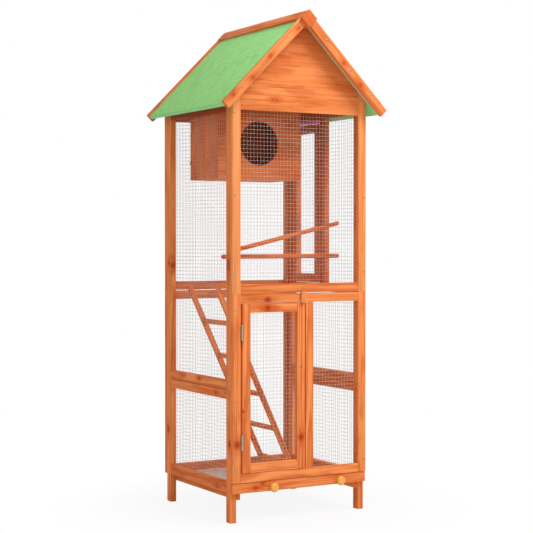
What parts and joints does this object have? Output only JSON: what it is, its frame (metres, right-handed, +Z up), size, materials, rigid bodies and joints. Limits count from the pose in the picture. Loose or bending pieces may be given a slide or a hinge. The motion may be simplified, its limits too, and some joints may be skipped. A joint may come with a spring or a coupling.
{
  "type": "garden flight cage for small birds",
  "caption": "Tall timber bird cage with wire mesh sides, green gable roof, front and side doors, pull-out tray, perches, nest box and ladder.",
  "frame": {"origin": "on the floor, under the middle of the bounding box", "axes": "+Z up; the front door and the drawer face -Y; the side door is on +X"},
  "size_m": [0.634, 0.598, 1.688],
  "materials": {
    "frame_wood": "satin orange-brown stain over knotty softwood",
    "roof_board": "matt green coating on the underside and edges",
    "felt": "mineral-grit roofing felt, matt green",
    "wire_mesh": "galvanized welded wire",
    "tray_sheet": "galvanized sheet, dull with faint spangle",
    "knob_wood": "clear varnish on turned pale wood",
    "hinge_steel": "zinc plated",
    "screw_steel": "zinc plated",
    "strip_plastic": "smooth pink plastic"
  },
  "bodies": {
    "cage": {"back_gable": "frame_wood", "back_lower_mesh": "wire_mesh", "back_lower_rails": "frame_wood", "back_lower_stiles": "frame_wood", "back_upper_mesh": "wire_mesh", "back_upper_rail": "frame_wood", "back_upper_stiles": "frame_wood", "frame_hinge_leaves": "hinge_steel", "frame_screws": "screw_steel", "front_bargeboards": "frame_wood", "front_gable": "frame_wood", "front_lower_mesh": "wire_mesh", "front_lower_middle_stile": "frame_wood", "front_lower_rails": "frame_wood", "front_lower_stiles": "frame_wood", "front_upper_mesh": "wire_mesh", "front_upper_rail": "frame_wood", "front_upper_stiles": "frame_wood", "hinge_pins": "hinge_steel", "ladder_rungs": "frame_wood", "ladder_stringers": "frame_wood", "left_legs": "frame_wood", "left_lower_mesh": "wire_mesh", "left_lower_rails": "frame_wood", "left_roof_board": "roof_board", "left_upper_mesh": "wire_mesh", "left_upper_rails": "frame_wood", "left_upper_stiles": "frame_wood", "lower_perch": "frame_wood", "mesh_screws": "screw_steel", "nest_box_back": "frame_wood", "nest_box_floor": "frame_wood", "nest_box_front": "frame_wood", "nest_box_sides": "frame_wood", "nest_box_top": "frame_wood", "rear_bargeboards": "frame_wood", "ridge_batten": "frame_wood", "right_legs": "frame_wood", "right_lower_mesh": "wire_mesh", "right_lower_rails": "frame_wood", "right_roof_board": "roof_board", "right_upper_mesh": "wire_mesh", "right_upper_rails": "frame_wood", "right_upper_stiles": "frame_wood", "roof_felt": "felt", "side_door_top_strip": "strip_plastic", "tray_runners": "frame_wood", "turn_button_screws": "screw_steel", "upper_perch": "frame_wood"},
    "front_door": {"front_door_frame": "frame_wood", "front_door_mesh": "wire_mesh", "front_door_hinge_leaves": "hinge_steel"},
    "side_door": {"side_door_frame": "frame_wood", "side_door_mesh": "wire_mesh", "side_door_hinge_leaves": "hinge_steel"},
    "drawer": {"tray": "tray_sheet", "drawer_front": "frame_wood", "drawer_knobs": "knob_wood"},
    "front_button": {"front_turn_button": "frame_wood"},
    "side_button": {"side_turn_button": "frame_wood"}
  },
  "joints": [
    {"name": "front_door_hinge", "type": "hinge", "parent": "cage", "child": "front_door", "pos_m": [-0.2265, -0.2465, 0.441], "axis": [0, 0, -1], "range_deg": [0, 110]},
    {"name": "side_door_hinge", "type": "hinge", "parent": "cage", "child": "side_door", "pos_m": [0.2635, 0.213, 1.061], "axis": [0, 0, 1], "range_deg": [0, 100]},
    {"name": "drawer_slide", "type": "slide", "parent": "cage", "child": "drawer", "axis": [0, -1, 0], "range_m": [0, 0.4]},
    {"name": "front_button_turn", "type": "hinge", "parent": "cage", "child": "front_button", "pos_m": [0.007, -0.2473, 0.7295], "axis": [0, 1, 0], "range_deg": [0, 180]},
    {"name": "side_button_turn", "type": "hinge", "parent": "cage", "child": "side_button", "pos_m": [0.2643, 0.0105, 1.06113], "axis": [1, 0, 0], "range_deg": [0, 90]}
  ]
}
